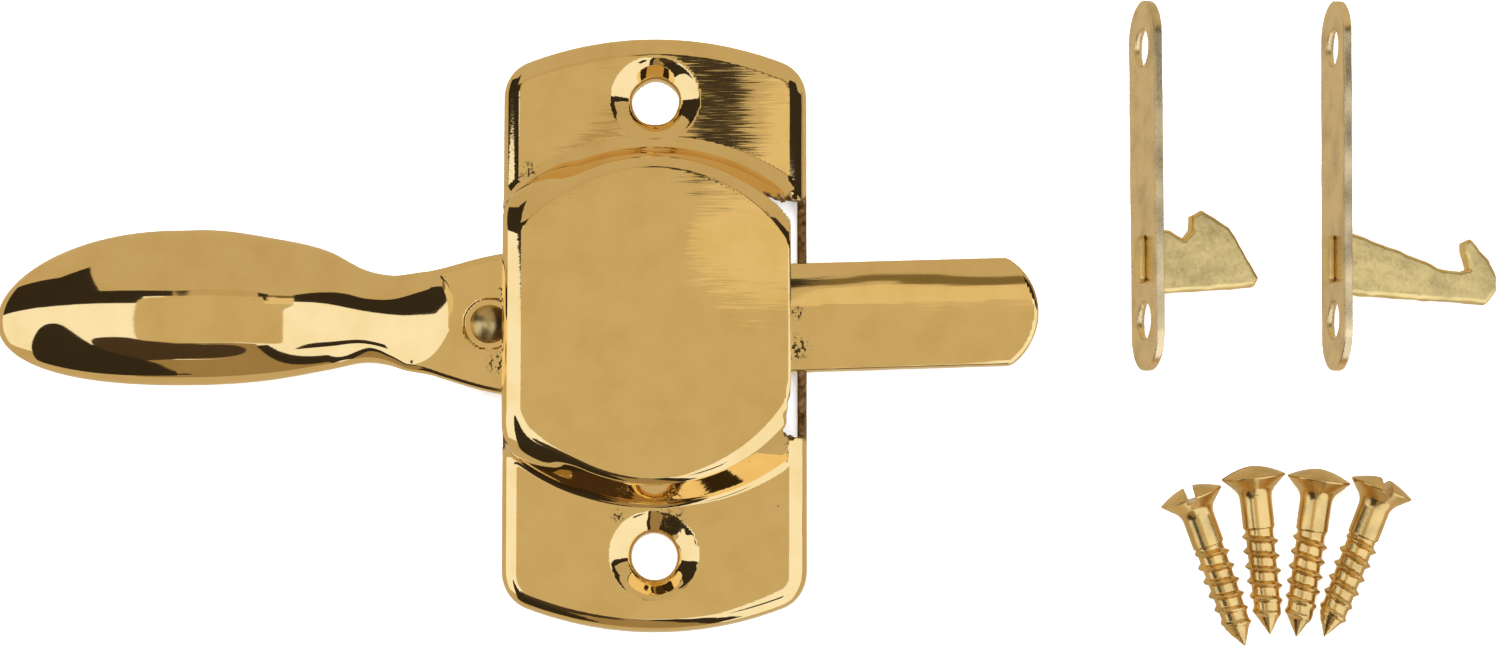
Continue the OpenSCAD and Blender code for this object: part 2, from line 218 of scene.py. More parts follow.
def band_faces(rings, around, first=0):
    """Quads between neighbouring rings of points. Each ring has so many points around, and closes."""
    faces = []
    for ring in range(rings - 1):
        start = first + ring * around
        for k in range(around):
            a, b = start + k, start + (k + 1) % around
            faces.append((a, a + around, b + around, b))
    return faces


def new_mesh(name, points, faces, directions=None):
    """A smooth mesh object from points in millimetres."""
    mesh = bpy.data.meshes.new(name)
    faces = [tuple(int(i) for i in face) for face in faces]
    mesh.from_pydata((np.asarray(points) * MM).tolist(), [], faces)
    mesh.shade_smooth()
    if directions is not None:
        mesh.normals_split_custom_set_from_vertices(np.asarray(directions).tolist())
    return new_object(name, mesh)


def cast(name, field, low, high, step, place=None):
    """A piece from a field. place is a 4 x 4 matrix from the field's own frame to the object's."""
    points, quads = surface_net(field, low, high, step)
    points, directions = settle(field, points, step)
    if place is not None:
        points = points @ place[:3, :3].T + place[:3, 3]
        directions = directions @ place[:3, :3].T
    return new_mesh(name, points, quads, directions)


def finish_piece(piece, material, body, slot, *nodes):
    """Gives a piece its material and its body, and hides the CAD nodes it stands for. The slot argument is
    not used.
    """
    piece.data.materials.append(material)
    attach(piece, body)
    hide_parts(*nodes)


# ---------- Materials ----------

BRASS = (0.93, 0.70, 0.34, 1.0)
TARNISHED = (0.88, 0.64, 0.28, 1.0)
# The as-cast surface inside the case: its own dull casting colour, darkened much further as painted shade
# in the hollow and the gates
SHADED_CAST_DARK = (0.16, 0.085, 0.035, 1.0)
SHADED_CAST_LIGHT = (0.42, 0.26, 0.10, 1.0)
PIT_BROWN = (0.10, 0.055, 0.02, 1.0)
# The mean colour of a noise: taken away, the noise bends a surface to all sides alike
MIDDLE = (0.5, 0.5, 0.5)


class Shader:
    """A short way to write a node material."""

    def __init__(self, name):
        self.material = bpy.data.materials.new(name)
        self.material.use_nodes = True
        self.tree = self.material.node_tree
        self.surface = self.tree.nodes["Principled BSDF"]

    def node(self, kind, inputs=None, **settings):
        made = self.tree.nodes.new("ShaderNode" + kind)
        for key, value in settings.items():
            setattr(made, key, value)
        for key, value in (inputs or {}).items():
            self.put(made.inputs[key], value)
        return made

    def put(self, socket, value):
        if isinstance(value, bpy.types.NodeSocket):
            self.tree.links.new(value, socket)
        else:
            socket.default_value = value

    def math(self, operation, a, b=0.0):
        return self.node("Math", {0: a, 1: b}, operation=operation).outputs[0]

    def vector(self, operation, a, b=(0.0, 0.0, 0.0)):
        return self.node("VectorMath", {0: a, 1: b}, operation=operation).outputs[0]

    def scaled(self, vector, factor):
        made = self.node("VectorMath", {0: vector}, operation="SCALE")
        self.put(made.inputs["Scale"], factor)
        return made.outputs[0]

    def mix(self, factor, a, b):
        made = self.node("Mix", data_type="RGBA")
        self.put(made.inputs["Factor"], factor)
        self.put(made.inputs[6], a)
        self.put(made.inputs[7], b)
        return made.outputs[2]

    def noise(self, per_mm, detail=2.0, roughness=0.5):
        """The value and the colour of a noise, with so many lumps per millimetre along X, Y and Z."""
        place = self.node("TexCoord").outputs["Object"]
        stretched = self.vector("MULTIPLY", place, tuple(v / MM for v in per_mm))
        inputs = {"Vector": stretched, "Scale": 1.0, "Detail": detail, "Roughness": roughness}
        made = self.node("TexNoise", inputs)
        return made.outputs[0], made.outputs[1]

    def step_up(self, value, low, high):
        inputs = {"Value": value, "From Min": low, "From Max": high}
        return self.node("MapRange", inputs, interpolation_type="SMOOTHSTEP").outputs[0]

    def near(self, centre, radius, fade):
        """1 within radius of a point in millimetres, falling to 0 over fade."""
        place = self.node("TexCoord").outputs["Object"]
        away = self.vector("SUBTRACT", place, tuple(v * MM for v in centre))
        length = self.node("VectorMath", {0: away}, operation="LENGTH").outputs["Value"]
        return self.math("SUBTRACT", 1.0, self.step_up(length, radius * MM, (radius + fade) * MM))


def polished_brass(name, pits=(), streaks=0.03, roughness=0.04):
    """Mirror-polished brass with fine brush marks along X, and casting pits at each given spot."""
    s = Shader(name)
    _, brush = s.noise((0.25, 7.0, 7.0), detail=3.0)
    _, wave = s.noise((0.12, 0.16, 0.16), detail=1.0)
    centred = s.vector("SUBTRACT", brush, MIDDLE)
    slow = s.vector("SUBTRACT", wave, MIDDLE)
    normal = s.node("NewGeometry").outputs["Normal"]
    normal = s.vector("ADD", normal, s.scaled(centred, streaks))
    normal = s.vector("ADD", normal, s.scaled(slow, 0.012))
    tarnish, _ = s.noise((0.3, 0.3, 0.3), detail=4.0)
    colour = s.mix(s.step_up(tarnish, 0.35, 0.75), BRASS, TARNISHED)
    rough = s.math("MULTIPLY_ADD", tarnish, 0.02)
    rough.node.inputs[2].default_value = roughness - 0.01
    # the as-cast surface inside the case: rough as cast, and painted dark brown as shade in the hollow and
    # the gates
    skin_and_shade = s.node("Attribute", attribute_name="as_cast_and_shade").outputs["Fac"]
    grit, grit_colour = s.noise((2.6, 2.6, 2.6), detail=4.0)
    colour = s.mix(skin_and_shade, colour, s.mix(grit, SHADED_CAST_DARK, SHADED_CAST_LIGHT))
    rough = s.math("MAXIMUM", rough, s.math("MULTIPLY", skin_and_shade, 0.45))
    bent = s.vector("SUBTRACT", grit_colour, MIDDLE)
    normal = s.vector("ADD", normal, s.scaled(bent, s.math("MULTIPLY", skin_and_shade, 0.5)))
    for centre, radius in pits:
        grain, grain_colour = s.noise((3.2, 2.4, 3.0), detail=3.0)
        mask = s.math("MULTIPLY", s.near(centre, radius * 0.45, radius * 0.8), s.step_up(grain, 0.5, 0.58))
        colour = s.mix(mask, colour, PIT_BROWN)
        rough = s.math("ADD", rough, s.math("MULTIPLY", mask, 0.4))
        bent = s.vector("SUBTRACT", grain_colour, MIDDLE)
        normal = s.vector("ADD", normal, s.scaled(bent, s.math("MULTIPLY", mask, 0.9)))
    s.put(s.surface.inputs["Base Color"], colour)
    s.put(s.surface.inputs["Metallic"], 1.0)
    s.put(s.surface.inputs["Roughness"], rough)
    s.put(s.surface.inputs["Normal"], s.vector("NORMALIZE", normal))
    return s.material


def satin_brass(name, base, roughness, mottle, grain_size=1.4):
    """Tumbled or machined brass: soft reflections, and a mottled face."""
    s = Shader(name)
    grain, grain_colour = s.noise((grain_size,) * 3, detail=4.0, roughness=0.6)
    patch, _ = s.noise((0.35, 0.35, 0.35), detail=3.0)
    bent = s.vector("SUBTRACT", grain_colour, MIDDLE)
    normal = s.vector("ADD", s.node("NewGeometry").outputs["Normal"], s.scaled(bent, mottle))
    darker = tuple(0.72 * v for v in base[:3]) + (1.0,)
    s.put(s.surface.inputs["Base Color"], s.mix(s.step_up(patch, 0.35, 0.8), base, darker))
    s.put(s.surface.inputs["Metallic"], 1.0)
    rough = s.math("MULTIPLY_ADD", grain, 0.16)
    rough.node.inputs[2].default_value = roughness - 0.08
    s.put(s.surface.inputs["Roughness"], rough)
    s.put(s.surface.inputs["Normal"], s.vector("NORMALIZE", normal))
    return s.material


def turned_metal(name, base, roughness):
    """Small turned or drawn parts inside the case."""
    s = Shader(name)
    ring, ring_colour = s.noise((0.4, 0.4, 9.0), detail=2.0)
    bent = s.vector("SUBTRACT", ring_colour, MIDDLE)
    normal = s.vector("ADD", s.node("NewGeometry").outputs["Normal"], s.scaled(bent, 0.05))
    darker = tuple(0.6 * v for v in base[:3]) + (1.0,)
    s.put(s.surface.inputs["Base Color"], s.mix(ring, base, darker))
    s.put(s.surface.inputs["Metallic"], 1.0)
    s.put(s.surface.inputs["Roughness"], roughness)
    s.put(s.surface.inputs["Normal"], s.vector("NORMALIZE", normal))
    return s.material


# ---------- Case ----------

case_low, case_high = node_box("case")
CASE_HALF = case_high[0]
CASE_TOP = case_high[1]
CASE_BOTTOM = -case_low[1]
DRUM_H = case_high[2]
FLANGE_H = 3.6
END_R = 35.5
CORNER_R = 2.6
RIM_ROUND = 2.0
DRUM_R = 22.5
DRUM_TOP_R = 16.0
DRUM_REACH = 17.8
DRUM_LEFT = 15.0
DRUM_TRIM = 13.5
DRUM_ROUND = 1.1
DRUM_SHOULDER = 2.8
SIDE_WALL = 1.0
ROOF = 1.6
REAR_RIM = 1.2
HOLE_Y = mount_record("case_screws")["dims"]["spacing_y_mm"] / 2
HOLE_R = 2.3
SINK_R = 4.45
SINK_H = 1.5
TONGUE_GATE = (-11.0, 12.6)
HANDLE_GATE = 11.9
HANDLE_GATE_TOP = 7.3
BOSS_R = 2.8
BOSS_Z = node_box("front_washer")[1][2] + 0.05
PIN_HOLE_R = 2.0
PIVOT_AT = (0.0, 0.0)
PEG_AT = (-8.0, 0.0)
PEG_R = 1.0


def arched_ends(x, y, reach_up, reach_down, arch):
    """Plan distance to the space between two arched ends."""
    return np.maximum(np.hypot(x, y - reach_up + arch), np.hypot(x, y + reach_down - arch)) - arch


def flange_plan(x, y):
    return common(np.abs(x) - CASE_HALF, arched_ends(x, y, CASE_TOP, CASE_BOTTOM, END_R), CORNER_R)


def drum_field(x, y, z, inset, top):
    """The raised middle, drawn in by inset, with ends that lean in to a round top and a soft left side."""
    # the corners on the left stay upright for longer
    rise = np.clip((z - FLANGE_H) / (DRUM_H - FLANGE_H), 0, 1) ** (1 + 4 * ramp(-x, 7, 14))
    reach = DRUM_REACH + (DRUM_TOP_R - DRUM_REACH) * rise
    arch = DRUM_R + (DRUM_TOP_R - DRUM_R) * rise
    ends = common(arched_ends(x, y, reach, reach, arch) + inset, z - top, DRUM_ROUND)
    left = common(-x - DRUM_LEFT + inset, z - top, DRUM_SHOULDER)
    return common(ends, left, 1.0)


def hollow_field(x, y, z):
    """The space behind the flanges and the drum."""
    behind_drum = np.maximum(drum_field(x, y, z, SIDE_WALL, DRUM_H - ROOF), x - DRUM_TRIM + SIDE_WALL)
    return np.minimum(common(flange_plan(x, y) + SIDE_WALL, z - FLANGE_H + ROOF, 0.5), behind_drum)


def gates_field(x, y, z):
    """The openings for the tongue and the handle, with rough ends."""
    rough = 0.2 * ripple(x, y, z, 1.7, 5) + 0.1 * ripple(x, y, z, 0.8, 6)
    tongue_gate = np.maximum.reduce([
        DRUM_TRIM - 3 - x,
        TONGUE_GATE[0] - y + rough,
        y - TONGUE_GATE[1] + rough,
        REAR_RIM - z + 0.4 * rough,
        z - DRUM_H + ROOF,
    ])
    handle_gate = np.maximum.reduce([
        x + DRUM_LEFT - 3,
        np.abs(y) - HANDLE_GATE + 0.5 * rough,
        REAR_RIM - z,
        z - HANDLE_GATE_TOP,
    ])
    return np.minimum(tongue_gate, handle_gate)


def case_field(x, y, z):
    outline = flange_plan(x, y)
    worn = 0.010 * ripple(x, y, 0 * z, 13.0, 3)
    # a dished countersink round each screw hole
    hole_away = np.hypot(x, np.abs(y) - HOLE_Y)
    share = np.clip((SINK_R - hole_away) / (SINK_R - HOLE_R), 0, 1.2)
    rough_sink = 0.015 * ripple(x, y, 0 * z, 1.1, 8) * ramp(x + y, -22, -17) * (share > 0) * (y < 0)
    dish = SINK_H * share**1.3 + rough_sink
    flange_top = FLANGE_H - 0.0005 * x * x + worn - dish
    flange = common(outline, (z - flange_top) / np.sqrt(1 + share**0.6), RIM_ROUND)
    drum_top = DRUM_H - 0.0005 * x * x - 0.0001 * y * y + worn
    drum = drum_field(x, y, z + DRUM_H - drum_top, 0, DRUM_H)
    # the drum's side over the tongue is trimmed, and broken back at both ends of the opening
    ends = np.maximum(ramp(y, 10.2, 11.4), ramp(-y, 6.0, 9.5))
    trim = DRUM_TRIM - (0.45 + 0.16 * ripple(x, y, z, 1.3, 7)) * ends
    drum = common(drum, x - trim, 0.3)
    solid = joined(flange, drum, 0.55 + 0.8 * ramp(y, 0, 12))
    solid = common(solid, outline, 0.25)
    solid = common(solid, -z, 0.15)
    solid = common(solid, -hollow_field(x, y, z), 0.15)
    solid = common(solid, -gates_field(x, y, z), 0.12)
    # bosses behind the screw holes, and the holes
    boss = common(hole_away - 5, np.maximum(-z, z - flange_top + 0.4), 0.15)
    solid = np.minimum(solid, boss)
    turn = np.arctan2(np.abs(y) - HOLE_Y, x)
    uneven = 0.05 * np.sin(2 * turn + np.sign(y)) + 0.04 * np.sin(5 * turn) * (y > 0)
    solid = common(solid, HOLE_R + uneven - hole_away, 0.25)
    # the boss for the pivot pin, and the peg for the spring
    boss = cylinder_z(x, y, z, PIVOT_AT, BOSS_R, BOSS_Z, DRUM_H - 0.5)
    peg = cylinder_z(x, y, z, PEG_AT, PEG_R, BOSS_Z, DRUM_H - 0.5)
    solid = np.minimum(solid, np.minimum(boss, peg))
    return np.maximum(solid, -cylinder_z(x, y, z, PIVOT_AT, PIN_HOLE_R, BOSS_Z - 1, DRUM_H - 0.9))


def mark_rough_and_shaded(piece, field, reach=0.3):
    """Marks the as-cast surface of a piece, which the material makes rough and darkens as painted shade: 1
    on the surfaces that field made, 0 elsewhere.
    """
    corners = np.array([v.co for v in piece.data.vertices]) / MM
    value = 1 - ramp(np.abs(field(*corners.T)), 0.1, reach)
    marks = piece.data.attributes.new("as_cast_and_shade", "FLOAT", "POINT")
    marks.data.foreach_set("value", value.astype(np.float32))


def build_case():
    piece = cast("case_casting", case_field, case_low, case_high, 0.24)
    # the inside of the case and the cut faces of the gates: rough as cast, with painted shade
    mark_rough_and_shaded(piece, lambda x, y, z: np.minimum(hollow_field(x, y, z), gates_field(x, y, z)))
    pits = [
        ((-3.6, -18.9, FLANGE_H), 0.7),
        ((12.2, -18.1, FLANGE_H), 0.3),
        ((1.8, -19.4, FLANGE_H), 1.5),
        ((14.2, -11.3, 6.0), 1.6),
        ((14.4, 12.6, 5.0), 1.2),
        ((-12.6, 15.6, FLANGE_H), 0.9),
    ]
    finish_piece(piece, polished_brass("case_brass", pits), "case", "polished_brass", "case")


# ---------- Lever ----------

handle_low, handle_high = node_box("handle")
tongue_low, tongue_high = node_box("tongue")
rivet_low, rivet_high = node_box("handle_rivet")
stud_low, stud_high = node_box("spring_stud")
GRIP_REACH = -handle_low[0]
GRIP_HALF = 7.7
GRIP_T = 4.3
BLADE_Z = tongue_high[2]
BLADE_T = 1.8
BLADE_TOP = BLADE_Z + BLADE_T
GRIP_Z = BLADE_Z + 2.6
RIVET_AT = ((rivet_low + rivet_high) / 2)[:2]
RIVET_R = 1.3
SEAT_R = 2.5
SEAT_DEPTH = 0.18
STUD_AT = ((stud_low + stud_high) / 2)[:2]
PIVOT_HOLE_R = 2.05
WIDEST = 18.0
NOSE_POWER = 2.08
BOW = 1.5

# Key sections of the grip and neck: x, centre y, half width, centre z, half thickness, squareness
GRIP_KEYS = np.array([
    (WIDEST - GRIP_REACH, BOW, GRIP_HALF, GRIP_Z, GRIP_T, 2.0),
    (-44.0, 1.55, GRIP_HALF, GRIP_Z, GRIP_T, 2.0),
    (-38.0, 1.4, 0.92 * GRIP_HALF, GRIP_Z, 0.95 * GRIP_T, 2.0),
    (-32.0, 1.25, 0.76 * GRIP_HALF, GRIP_Z - 0.4, 0.80 * GRIP_T, 2.05),
    (-28.3, 0.7, 0.595 * GRIP_HALF, GRIP_Z - 0.8, 0.67 * GRIP_T, 2.1),
    (-26.0, 0.4, 0.58 * GRIP_HALF, GRIP_Z - 1.1, 0.57 * GRIP_T, 2.2),
    (-23.0, 0.3, 0.64 * GRIP_HALF, BLADE_Z + 1.1, 0.38 * GRIP_T, 2.3),
    (-20.0, 0.3, 0.66 * GRIP_HALF, BLADE_Z + 0.8, 0.19 * GRIP_T, 2.4),
    (-17.0, 0.3, 0.60 * GRIP_HALF, BLADE_Z + 0.6, 0.08 * GRIP_T, 2.4),
])
# The blade's outline: x, centre y, half width
BLADE_KEYS = np.array([
    (-30.0, 0.9, 3.3),
    (-26.0, 0.4, 4.2),
    (-23.0, 0.2, 4.85),
    (-20.6, 0.15, 5.6),
    (-15.0, 0.1, 7.0),
    (-11.0, 0.1, 7.15),
    (3.0, 0.0, 5.1),
    (12.0, 0.0, 2.6),
])


def smooth_columns(keys, x):
    """The columns of a table of keys, smoothed between its rows, at each x."""
    at = keys[:, 0]
    slope = np.gradient(keys, at, axis=0)
    i = np.clip(np.searchsorted(at, x) - 1, 0, len(at) - 2)
    step = at[i + 1] - at[i]
    u = np.clip((x - at[i]) / step, 0, 1)
    return [
        (1 + 2 * u) * (1 - u) ** 2 * keys[i, c]
        + u * u * (3 - 2 * u) * keys[i + 1, c]
        + step * u * (1 - u) * ((1 - u) * slope[i, c] - u * slope[i + 1, c])
        for c in range(1, keys.shape[1])
    ]


def grip_field(x, y, z):
    # the crown of the neck ends sooner on the lower side
    reach = x + 0.4 * np.maximum(-y - 0.5, 0) * ramp(x, -28, -23)
    centre_y, half_y, centre_z, half_z, power = smooth_columns(GRIP_KEYS, reach)
    along = np.clip((GRIP_KEYS[0, 0] - x) / WIDEST, 0, 0.9995)
    nose = (1 - along**NOSE_POWER) ** (1 / NOSE_POWER)
    half_y, half_z = half_y * nose, half_z * nose
    centre_y = np.where(along > 0, BOW * (1 - 0.9 * along * along), centre_y)
    u, v = np.abs(y - centre_y) / half_y + 1e-9, np.abs(z - centre_z) / half_z + 1e-9
    total = u**power + v**power
    size = total ** (1 / power)
    steep = np.hypot(u ** (power - 1) / half_y, v ** (power - 1) / half_z) * total ** (1 / power - 1)
    beyond = GRIP_KEYS[0, 0] - WIDEST - x
    return np.maximum((size - 1) / np.maximum(steep, 1e-6), beyond)


def without_pin_holes(solid, x, y):
    """Cuts the holes for the pivot pin, the rivet and the stud, which both lever pieces have."""
    for centre, radius in ((PIVOT_AT, PIVOT_HOLE_R), (RIVET_AT, RIVET_R), (STUD_AT, PEG_R)):
        solid = np.maximum(solid, radius - np.hypot(x - centre[0], y - centre[1]))
    return solid


def handle_field(x, y, z):
    centre_y, half = smooth_columns(BLADE_KEYS, x)
    ends = np.maximum(x - handle_high[0], -29 - x)
    sides = common(np.abs(y - centre_y) - half, ends, 0.5)
    thick = np.abs(z - BLADE_Z - BLADE_T / 2) - BLADE_T / 2
    blade = common(sides, thick, 0.75)
    worn = 0.012 * ripple(x, y, z, 17.0, 11)
    solid = joined(blade, grip_field(x, y, z) + worn, 0.35)
    solid = common(solid, BLADE_Z - z - 40 * ramp(-x, 22, 23), 0.05)
    seat = cylinder_z(x, y, z, RIVET_AT, SEAT_R, BLADE_TOP - SEAT_DEPTH, BLADE_TOP + 4, 0.08)
    solid = common(solid, -seat, 0.15)
    return without_pin_holes(solid, x, y)


TONGUE_TILT = math.radians(1.7)
TONGUE_RISE = 0.5
TONGUE_HALF = 5.5
TONGUE_REACH = 38.2
TONGUE_TAIL = 19.3
TIP_R = 6.4
CREASE_AT = 1.16


def tongue_field(x, y, z):
    u = x * math.cos(TONGUE_TILT) + y * math.sin(TONGUE_TILT)
    v = y * math.cos(TONGUE_TILT) - x * math.sin(TONGUE_TILT) - TONGUE_RISE
    tip = np.hypot(np.maximum(u - TONGUE_REACH + TIP_R, 0), v) - TIP_R
    tail = np.hypot(np.minimum(u + TONGUE_TAIL - TONGUE_HALF, 0), v) - TONGUE_HALF
    outline = common(np.abs(v) - TONGUE_HALF + 0.004 * np.maximum(u - 15, 0), np.maximum(tip, tail), 0.35)
    crown = np.maximum(v - CREASE_AT, 0)
    wave = 1 + 0.14 * ripple(x, 0 * y, 0 * z, 17.0, 21)
    bevel = np.maximum(-v - TONGUE_HALF + 0.55, 0)
    fall = 0.012 * crown + wave * crown * crown / 88 + 0.12 * bevel
    top = tongue_high[2] - fall * ramp(u, 8, 12.5)
    solid = common(outline, z - top, 0.3 + 0.15 * ramp(u, TONGUE_REACH - 4, TONGUE_REACH - 1))
    solid = common(solid, tongue_low[2] - z, 0.2)
    return without_pin_holes(solid, x, y)


def rivet_field(x, y, z):
    away = np.hypot(x - RIVET_AT[0], y - RIVET_AT[1])
    seat = BLADE_TOP - SEAT_DEPTH
    head_r = (rivet_high[0] - rivet_low[0]) / 2
    head_h = rivet_high[2] - seat
    ball_r = (head_r**2 + head_h**2) / (2 * head_h)
    dome = np.hypot(away, z - seat - head_h + ball_r) - ball_r
    head = common(dome, seat - z, 0.12)
    shank = np.maximum(away - RIVET_R, np.maximum(rivet_low[2] - z, z - seat - 0.5))
    return np.minimum(head, shank)


def build_lever():
    pits = [((-15.5, -3.9, BLADE_TOP), 1.1), ((-15.0, 3.3, BLADE_TOP), 0.5)]
    brass = polished_brass("handle_brass", pits, streaks=0.006)
    piece = cast("handle_casting", handle_field, handle_low, handle_high, 0.22)
    finish_piece(piece, brass, "lever", "polished_brass", "handle")
    pits = [((14.1, -2.2, tongue_high[2]), 1.5), ((14.2, 1.3, tongue_high[2]), 0.8)]
    brass = polished_brass("tongue_brass", pits, streaks=0.010)
    piece = cast("tongue_bar", tongue_field, tongue_low, tongue_high, 0.24)
    finish_piece(piece, brass, "lever", "polished_brass", "tongue")
    brass = satin_brass("rivet_brass", (0.66, 0.50, 0.24, 1.0), 0.34, 0.05, 2.0)
    piece = cast("handle_rivet_set", rivet_field, rivet_low, rivet_high, 0.12)
    finish_piece(piece, brass, "lever", "polished_brass", "handle_rivet")


# ---------- Centring spring ----------

WIRE_R = 0.275
COIL_R = 3.3
LEG_GAP = 0.05
HOOK_ARC = 200


def spring_path():
    """The wire's centre line: a hook round the case's peg, two turns, and a hook round the lever's stud."""
    low, high = node_box("centering_spring")
    bottom, top = low[2] + WIRE_R, high[2] - WIRE_R
    peg = np.array([PEG_AT[0], PEG_AT[1], top])
    stud = np.array([STUD_AT[0], 0, bottom])
    grip = PEG_R + WIRE_R + LEG_GAP
    start = 90 + math.degrees(math.asin((COIL_R - grip) / -peg[0]))
    end = 90 - math.degrees(math.asin((COIL_R - grip) / stud[0])) - 720

    def on_circle(radius, degrees):
        angle = math.radians(degrees)
        return np.array([radius * math.cos(angle), radius * math.sin(angle), 0])

    first = [peg + on_circle(grip, start + a) for a in range(HOOK_ARC, -1, -10)]
    share = np.linspace(0, 1, 160)
    coil = [on_circle(COIL_R, start + (end - start) * t) + (0, 0, top + (bottom - top) * t) for t in share]
    last = [stud + on_circle(grip, end - a) for a in range(0, HOOK_ARC + 1, 10)]
    return np.array(first + coil + last), top, bottom


def build_spring(sides=12):
    path, top, bottom = spring_path()
    forward = np.gradient(path, axis=0)
    forward /= np.linalg.norm(forward, axis=1, keepdims=True)
    side = np.cross(forward, Z_AXIS)
    side /= np.linalg.norm(side, axis=1, keepdims=True)
    up = np.cross(side, forward)
    turn = np.linspace(0, 2 * math.pi, sides, endpoint=False)
    ring = np.cos(turn)[:, None, None] * side + np.sin(turn)[:, None, None] * up
    points = (path + WIRE_R * ring).transpose(1, 0, 2).reshape(-1, 3)
    faces = band_faces(len(path), sides)
    last = (len(path) - 1) * sides
    for k in range(1, sides - 1):
        faces += [(0, k, k + 1), (last, last + k + 1, last + k)]
    piece = new_mesh("spring_coil", points, faces)
    piece.data.materials.append(turned_metal("spring_wire", (0.62, 0.36, 0.15, 1.0), 0.28))
    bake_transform(piece)
    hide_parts("centering_spring")


def dress_inner_parts():
    """The pin, the washers and the stud keep their CAD shapes."""
    steel = turned_metal("pin_steel", (0.60, 0.59, 0.57, 1.0), 0.26)
    bronze = turned_metal("washer_bronze", (0.60, 0.35, 0.15, 1.0), 0.3)
    chosen = {"pivot_pin": steel, "spring_stud": steel, "rear_washer": bronze, "front_washer": bronze}
    for node, material in chosen.items():
        mesh_object = frame["nodes"][node]
        mesh_object.data.materials.clear()
        mesh_object.data.materials.append(material)


# ---------- Strikes ----------

PLATE_W = 7.6
PLATE_T = 0.9
PLATE_LOW = -7.6
PLATE_LEN = 37.1
HOLE_LOW = -2.6
HOOK_T = 1.7
NUB_H = 0.7
PLATE_HOLE_R = 1.9
# How far the record's hole mounts lie behind the plate's front
MOUNT_DEPTH = 0.65
TENON = (1.3, 5.7)
# Hook outlines, [distance from the plate, height above the hook's root]
SHORT_HOOK = [
    (-0.5, 0.0), (10.7, 1.1), (11.1, 1.9), (8.0, 6.9), (5.1, 8.6),
    (4.1, 8.0), (4.1, 6.6), (3.2, 5.6), (1.7, 6.4), (-0.5, 6.6),
]
LONG_HOOK = [
    (-0.5, 0.1), (6.1, -0.2), (14.8, -0.5), (15.9, 0.8), (15.9, 2.2), (15.1, 3.9), (14.0, 5.2), (13.2, 5.9),
    (12.5, 5.6), (12.5, 4.6), (13.0, 2.9), (12.1, 2.6), (9.8, 3.0), (5.9, 4.5), (-0.5, 6.6),
]


def strike_place(name):
    """From the strike's own frame, which starts at the hook's root, to the object's frame."""
    lower, out = mount(name + "_strike_lower_hole")
    upper, _ = mount(name + "_strike_upper_hole")
    along = (upper - lower) / np.linalg.norm(upper - lower)
    place = np.eye(4)
    place[:3, 0], place[:3, 1], place[:3, 2] = out, along, np.cross(out, along)
    place[:3, 3] = lower - HOLE_LOW * along + MOUNT_DEPTH * out
    return place, np.linalg.norm(upper - lower)


def plate_field(x, y, z, pitch, seed):
    half = PLATE_W / 2
    low, high = PLATE_LOW + half, PLATE_LOW + PLATE_LEN - half
    outline = np.hypot(z, y - np.clip(y, low, high)) - half + 0.03 * ripple(x, y, z, 5.0, seed)
    solid = common(outline, np.abs(x + PLATE_T / 2) - PLATE_T / 2, 0.16)
    for centre in (HOLE_LOW, HOLE_LOW + pitch):
        away = np.hypot(z, y - centre)
        solid = common(solid, PLATE_HOLE_R - away, 0.12)
        solid = np.maximum(solid, 0.7 * (PLATE_HOLE_R + 0.4 + x - away))
    slot = np.maximum(np.abs(z) - HOOK_T / 2, np.maximum(TENON[0] - y, y - TENON[1]))
    return np.maximum(solid, -slot)


def hook_field(x, y, z, outline, seed):
    worn = 0.04 * ripple(x, y, z, 3.0, seed) + 0.02 * ripple(x, y, z, 1.3, seed + 1)
    shape = polygon_distance(x, y, outline)
    blade = common(shape + worn, np.abs(z) - HOOK_T / 2 + 0.12 * worn, 0.42)
    blade = np.maximum(blade, -x)
    centre = (TENON[0] + TENON[1]) / 2
    half = (TENON[1] - TENON[0]) / 2
    grown = 0.12 * ramp(-x, PLATE_T, PLATE_T + 0.2)
    tenon = common(np.abs(y - centre) - half - grown, np.abs(z) - HOOK_T / 2 - grown, 0.5)
    tenon = common(tenon, np.maximum(-x - PLATE_T - NUB_H, x - 0.4), 0.28)
    return np.minimum(blade, tenon)


def build_strikes():
    plate_brass = satin_brass("plate_brass", (0.92, 0.73, 0.43, 1.0), 0.27, 0.035, 1.6)
    hook_brass = satin_brass("hook_brass", (0.95, 0.73, 0.31, 1.0), 0.32, 0.14, 3.2)
    for name, outline, seed in (("short", SHORT_HOOK, 31), ("long", LONG_HOOK, 41)):
        place, pitch = strike_place(name)
        reach = max(p[0] for p in outline)
        low = (-PLATE_T, PLATE_LOW, -PLATE_W / 2)
        high = (0, PLATE_LOW + PLATE_LEN, PLATE_W / 2)
        piece = cast(name + "_plate", lambda *at: plate_field(*at, pitch, seed), low, high, 0.16, place)
        finish_piece(piece, plate_brass, name + "_strike", "satin_brass", name + "_strike_plate")
        low, high = (-PLATE_T - NUB_H, -1, -HOOK_T / 2), (reach, max(p[1] for p in outline), HOOK_T / 2)
        piece = cast(name + "_hook", lambda *at: hook_field(*at, outline, seed), low, high, 0.13, place)
        finish_piece(piece, hook_brass, name + "_strike", "satin_brass", name + "_strike_hook")


# ---------- Screws ----------

HEAD_R = 3.15
SHANK_R = 1.575
ROOT_R = 1.28
CREST_R = 1.73
PITCH = 1.48
DOME_H = 1.05
NECK_H = 1.6
SHANK_H = 3.6
SCREW_LEN = 15.9
POINT_H = 2.3
SLOT_W = 0.9
SLOT_H = 1.5
# How far each screw is turned about its own axis: the outer two lie with their slots upright
ROLLS = (82, 4, -6, 98)


